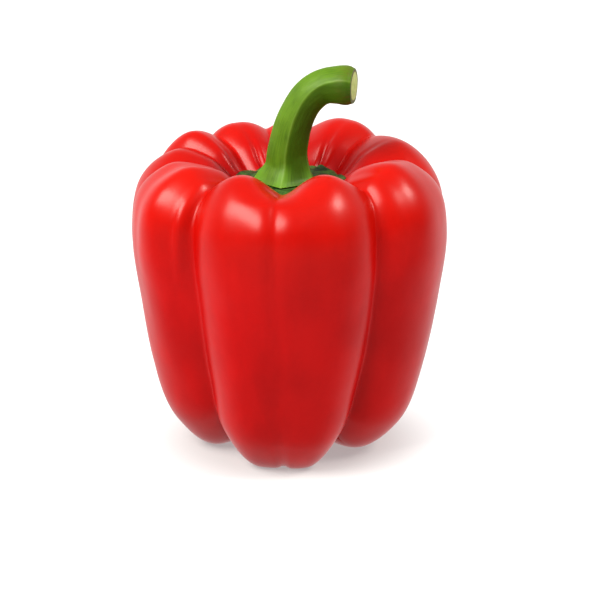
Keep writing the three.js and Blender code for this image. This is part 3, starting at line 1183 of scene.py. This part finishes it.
@dataclass
class Stem(Piece):
    """The ribbed stem: flared on the calyx, bent to the right, swollen and cut off at its end."""

    NAME, NODE, SLOT = "pepper_stem", Node.STEM, Slot.STEM
    FOOT_END = 0.04  # share of the sheet's rows under the foot
    CUT_START = 0.90  # share of the rows where the cut face starts
    foot: Vector  # where the path starts
    finish: StemBark
    sides: int = 150
    rows: int = 300
    reach: float = 16.8 * MM
    width: float = 10.4 * MM
    rise: float = 27.9 * MM
    ribs: int = 5
    first_rib: float = 262.0  # bearing of the rib that faces the front
    rib_share: float = 0.30
    climb: float = 20.0  # degrees by which the ribs turn towards the top of the bend
    buttress: float = 0.14  # how much further out the ribs start
    bark: float = 0.25 * MM
    bulge: float = 0.7 * MM
    path: tuple[tuple[float, float, float], ...] = (
        *((-0.06, 0.0, 0.0), (-0.036, 0.0, 0.143), (-0.03, 0.0, 0.283)),
        *((0.006, 0.0, 0.409), (0.06, 0.0, 0.552), (0.155, -0.012, 0.698)),
        *((0.298, -0.03, 0.841), (0.446, -0.054, 0.928), (0.607, -0.080, 0.976)),
        *((0.80, -0.120, 0.992), (1.07, -0.185, 0.992)),
    )
    girth: tuple[tuple[float, float], ...] = (
        *((0.0, 1.62), (0.03, 1.44), (0.07, 1.30), (0.12, 1.18), (0.20, 1.09)),
        *((0.32, 1.04), (0.43, 1.0), (0.55, 0.96), (0.68, 0.95), (0.77, 0.95)),
        *((0.86, 1.0), (0.94, 1.06), (1.0, 1.0)),
    )

    def _girth_at(self, share: float) -> float:
        """Reads the girth table.

        Args:
            share: how far along the stem, from 0 to 1.

        Returns:
            The radius there, in metres.
        """
        places = [place for place, _ in self.girth]
        after = next(i for i, place in enumerate(places) if i and share <= place + 1e-9)
        start, stop = places[after - 1], places[after]
        t, span = (share - start) / (stop - start), stop - start
        leave, arrive = self._taper_at(after - 1) * span, self._taper_at(after) * span
        low, high = self.girth[after - 1][1], self.girth[after][1]
        curve = low + leave * t + (3 * (high - low) - 2 * leave - arrive) * t**2
        return (curve + (2 * (low - high) + leave + arrive) * t**3) * self.width / 2

    def _taper_at(self, number: int) -> float:
        """How fast the girth changes at a row of its table.

        Args:
            number: the row.

        Returns:
            The change of girth to the change of share.
        """
        before, after = max(number - 1, 0), min(number + 1, len(self.girth) - 1)
        (start, low), (stop, high) = self.girth[before], self.girth[after]
        return (high - low) / (stop - start)

    def guide(self) -> bpy.types.Mesh:
        """Draws the stem's centreline.

        Returns:
            The line, with the stem's radius at each point.
        """
        points = [
            self.foot + Vector((x * self.reach, y * self.reach, z * self.rise))
            for x, y, z in self.path
        ]
        lead_in, lead_out = 2 * points[0] - points[1], 2 * points[-1] - points[-2]
        places, _ = smooth_line([lead_in, *points, lead_out], 12)
        lengths = [0.0]
        for here, there in zip(places, places[1:]):
            lengths.append(lengths[-1] + (there - here).length)
        girths = [self._girth_at(length / lengths[-1]) for length in lengths]
        return guide_line("stem_path", places, {"girth": girths})

    def sizes(self) -> Sizes:
        """The named number inputs of the growth tree."""
        relief = {"Rib Share": self.rib_share, "Bark": self.bark, "Bulge": self.bulge}
        return {"Sides": self.sides, "Rows": self.rows, "First Rib": self.first_rib, **relief}

    def growth(self) -> Growth:
        """The tree that wraps a sheet round the stem's centreline.

        Returns:
            The finished tree.
        """
        g, sheet, bearing, share = self.start("Path")
        along = (share - self.FOOT_END) / (self.CUT_START - self.FOOT_END)
        along = along.maths("MAXIMUM", 0.0).maths("MINIMUM", 1.0)
        under = (1.0 - share / self.FOOT_END).maths("MAXIMUM", 0.0)
        cut = ((share - self.CUT_START) / (1.0 - self.CUT_START)).maths("MAXIMUM", 0.0)
        curve = g.node("GeometryNodeMeshToCurve", {}, {"Mesh": g.given("Path")})
        girth = g.node("GeometryNodeInputNamedAttribute", {"data_type": "FLOAT"}, {"Name": "girth"})
        settings = {"mode": "FACTOR", "data_type": "FLOAT"}
        sockets = {"Curves": curve, "Value": girth, "Factor": along}
        radius = g.node("GeometryNodeSampleCurve", settings, sockets)
        centre, heading = radius.output("Position"), radius.output("Tangent")
        heading = g.mix(g.smooth(along, 0.0, 0.06), (0.0, 0.0, 1.0), heading, "VECTOR")
        across = g.vector_maths("CROSS_PRODUCT", (0.0, 1.0, 0.0), heading)
        side = g.vector_maths("NORMALIZE", across)
        other = g.vector_maths("CROSS_PRODUCT", heading, side)
        angle = bearing.maths("RADIANS")
        wander = (g.noise(g.vector(along, 0.0, 0.0), 3.0, 1.0) - 0.5) * 10.0
        wander = wander + g.smooth(along, 0.4, 1.0) * self.climb
        sector = 360.0 / self.ribs
        turned = bearing - g.given("First Rib") + wander + 720.0
        from_rib = (turned + sector / 2).maths("FLOORED_MODULO", sector) - sector / 2
        from_rib = from_rib.maths("ABSOLUTE")
        # painted shade: a mask over the stem's right side and, along the bend, its underside, which
        # the finish darkens
        beyond = turned.maths("FLOORED_MODULO", 360.0)
        painted_shade = g.smooth(beyond, 0.0, 9.0) * g.smooth(beyond, 165.0, 95.0)
        flat = (sector / 2 - from_rib).maths("RADIANS").maths("COSINE")
        corner = 1.0 / flat.maths("MAXIMUM", 0.1) - 1.09
        rib = 1.0 - from_rib / (sector / 2)
        buttress = rib * rib * self.buttress * g.smooth(along, 0.16, 0.0)
        worn = 1.0 - 0.35 * g.smooth(along, 0.8, 1.0)
        shape = 1.0 + corner * g.given("Rib Share") * worn + buttress
        chart = g.vector(angle.maths("COSINE") * 2.0, angle.maths("SINE") * 2.0, along * 5.0)
        bark = (g.noise(chart, 1.6, 2.0) - 0.5) * g.given("Bark")
        trimmed = 1.0 - g.smooth(along, 0.965, 1.0) * 0.05
        spread = (radius * shape * trimmed + bark) * (1.0 - under) * (1.0 - cut)
        sunk = g.smooth(cut, 0.0, 1.0) * g.given("Bulge")
        parts = (
            (side, spread * angle.maths("COSINE")),
            (other, spread * angle.maths("SINE")),
            (heading, sunk),
        )
        place = centre
        for direction, length in parts:
            place = g.vector_maths("ADD", place, g.scaled(direction, length))
        shaped = g.moved(sheet, place)
        for name, value in (("along", along), ("rib", rib), ("cut", cut), ("painted_shade", painted_shade)):
            shaped = g.store(shaped, name, value)
        g.finished(g.closed(shaped), self.finish.material())
        return g


# ---- Studio ----


@dataclass(frozen=True)
class Softbox:
    """A soft light that points at the pepper. Azimuth 0 is in front, and 90 is at the right."""

    name: str
    azimuth: float
    elevation: float
    distance: float
    width: float
    height: float
    power: float
    tint: tuple[float, float, float] = (1.0, 0.97, 0.91)

    def hang(self, aim: Vector) -> None:
        """Hangs the light.

        Args:
            aim: the point that it lights.
        """
        data = bpy.data.lights.new(self.name, "AREA")
        data.shape = "RECTANGLE"
        data.size = self.width
        data.size_y = self.height
        data.energy = self.power
        data.color = self.tint
        point_at(in_scene(self.name, data), aim, self.azimuth, self.elevation, self.distance)


def point_at(
    thing: bpy.types.Object, aim: Vector, azimuth: float, elevation: float, distance: float
) -> None:
    """Stands a light or a camera off a point and turns it there.

    Args:
        thing: the light or the camera.
        aim: the point.
        azimuth: the side that it looks from, in degrees.
        elevation: how high it looks from, in degrees.
        distance: how far off it stands.
    """
    a, e = math.radians(azimuth), math.radians(elevation)
    back = Vector((math.sin(a) * math.cos(e), -math.cos(a) * math.cos(e), math.sin(e)))
    thing.location = aim + back * distance
    thing.rotation_mode = "QUATERNION"
    thing.rotation_quaternion = back.to_track_quat("Z", "Y")


@dataclass
class Studio:
    """The table, the lights and the camera."""

    lowest: Vector
    highest: Vector
    paper: TablePaper
    table_size: float = 6.0
    softboxes: tuple[Softbox, ...] = (
        Softbox("left_softbox", -52.0, 44.0, 1.1, 0.88, 0.48, 17.0),
        Softbox("right_softbox", 76.0, 44.0, 1.2, 0.40, 0.38, 9.0),
    )
    back_wall: float = 0.85
    front_wall: float = 0.10
    ceiling: float = 0.36
    wall_turn: tuple[float, float] = (-0.2, 0.5)  # from the front wall to the back one
    ceiling_turn: tuple[float, float] = (0.25, 0.7)  # from the walls to the ceiling
    below: float = 0.4  # how much further back a wall counts as it goes down
    aim_across: float = 0.0348  # of the pepper's width
    aim_up: float = 0.3776  # of its height
    camera_elevation: float = 18.7
    camera_distance: float = 0.8
    lens: float = 167.5

    def lay_table(self) -> None:
        """Lays the table that the pepper stands on."""
        half = self.table_size / 2
        corners = [(-half, -half, 0.0), (half, -half, 0.0), (half, half, 0.0), (-half, half, 0.0)]
        mesh = bpy.data.meshes.new("table")
        mesh.from_pydata(corners, [], [(0, 1, 2, 3)])
        mesh.materials.append(self.paper.material())
        table = in_scene("table", mesh)
        table.visible_glossy = False

    def light(self) -> None:
        """Hangs the softboxes and lights the room, bright behind the pepper and dim in front."""
        aim = (self.lowest + self.highest) / 2
        for softbox in self.softboxes:
            softbox.hang(aim)
        world = bpy.data.worlds.new("studio")
        bpy.context.scene.world = world
        world.use_nodes = True
        world.node_tree.nodes.clear()
        t = Tree(world.node_tree)
        _, away, up = t.parts(t.node("ShaderNodeTexCoord", out="Generated"))
        back = away - up.maths("MINIMUM", 0.0) * self.below
        brighter = (self.back_wall - self.front_wall) * t.smooth(back, *self.wall_turn)
        wall = self.front_wall + brighter
        room = wall + (self.ceiling - wall) * t.smooth(up, *self.ceiling_turn)
        glow = t.node("ShaderNodeBackground", {}, {"Color": grey(1.0), "Strength": room})
        t.node("ShaderNodeOutputWorld", {}, {"Surface": glow}, out=None)

    def set_camera(self) -> None:
        """Sets the camera before the pepper, a little above it."""
        span = self.highest - self.lowest
        aim = Vector((self.aim_across * span.x, 0.0, self.aim_up * span.z))
        data = bpy.data.cameras.new("camera")
        data.lens = self.lens
        camera = in_scene("camera", data)
        point_at(camera, aim, 0.0, self.camera_elevation, self.camera_distance)
        bpy.context.scene.camera = camera

    def build(self) -> None:
        """Sets up the whole studio."""
        self.lay_table()
        self.light()
        self.set_camera()
        settings = bpy.context.scene.view_settings
        settings.view_transform = "Standard"
        settings.look = "Medium High Contrast"


def grey(value: float) -> Colour:
    """A grey of this brightness."""
    return (value, value, value, 1.0)


# ---- The whole pepper ----


def report(piece: bpy.types.Object) -> None:
    """Logs a piece's size.

    Args:
        piece: the finished piece.
    """
    low, high = (Vector(piece.bound_box[i]) for i in (0, 6))
    size = ", ".join(f"{side / MM:.1f}" for side in high - low)
    log.info("%s: %d faces, %s mm", piece.name, len(piece.data.polygons), size)


def main() -> None:
    """Builds the fruit, the calyx, the stem and the studio, in this order."""
    logging.basicConfig(level=logging.INFO, format="%(name)s: %(message)s")
    fruit = Fruit(*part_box(Node.FRUIT.value), finish=WaxySkin())
    foot = Vector((*(fruit.middle * fruit.radius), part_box(Node.STEM.value)[0].z))
    calyx = Calyx(fruit, foot.z - Calyx.gap, CalyxLeaf())
    for part in (fruit, calyx, Stem(foot, StemBark())):
        piece = part.build()
        part.dress(piece)
        report(piece)
    Studio(*CAD_BOX, TablePaper()).build()


if __name__ == "__main__":
    main()
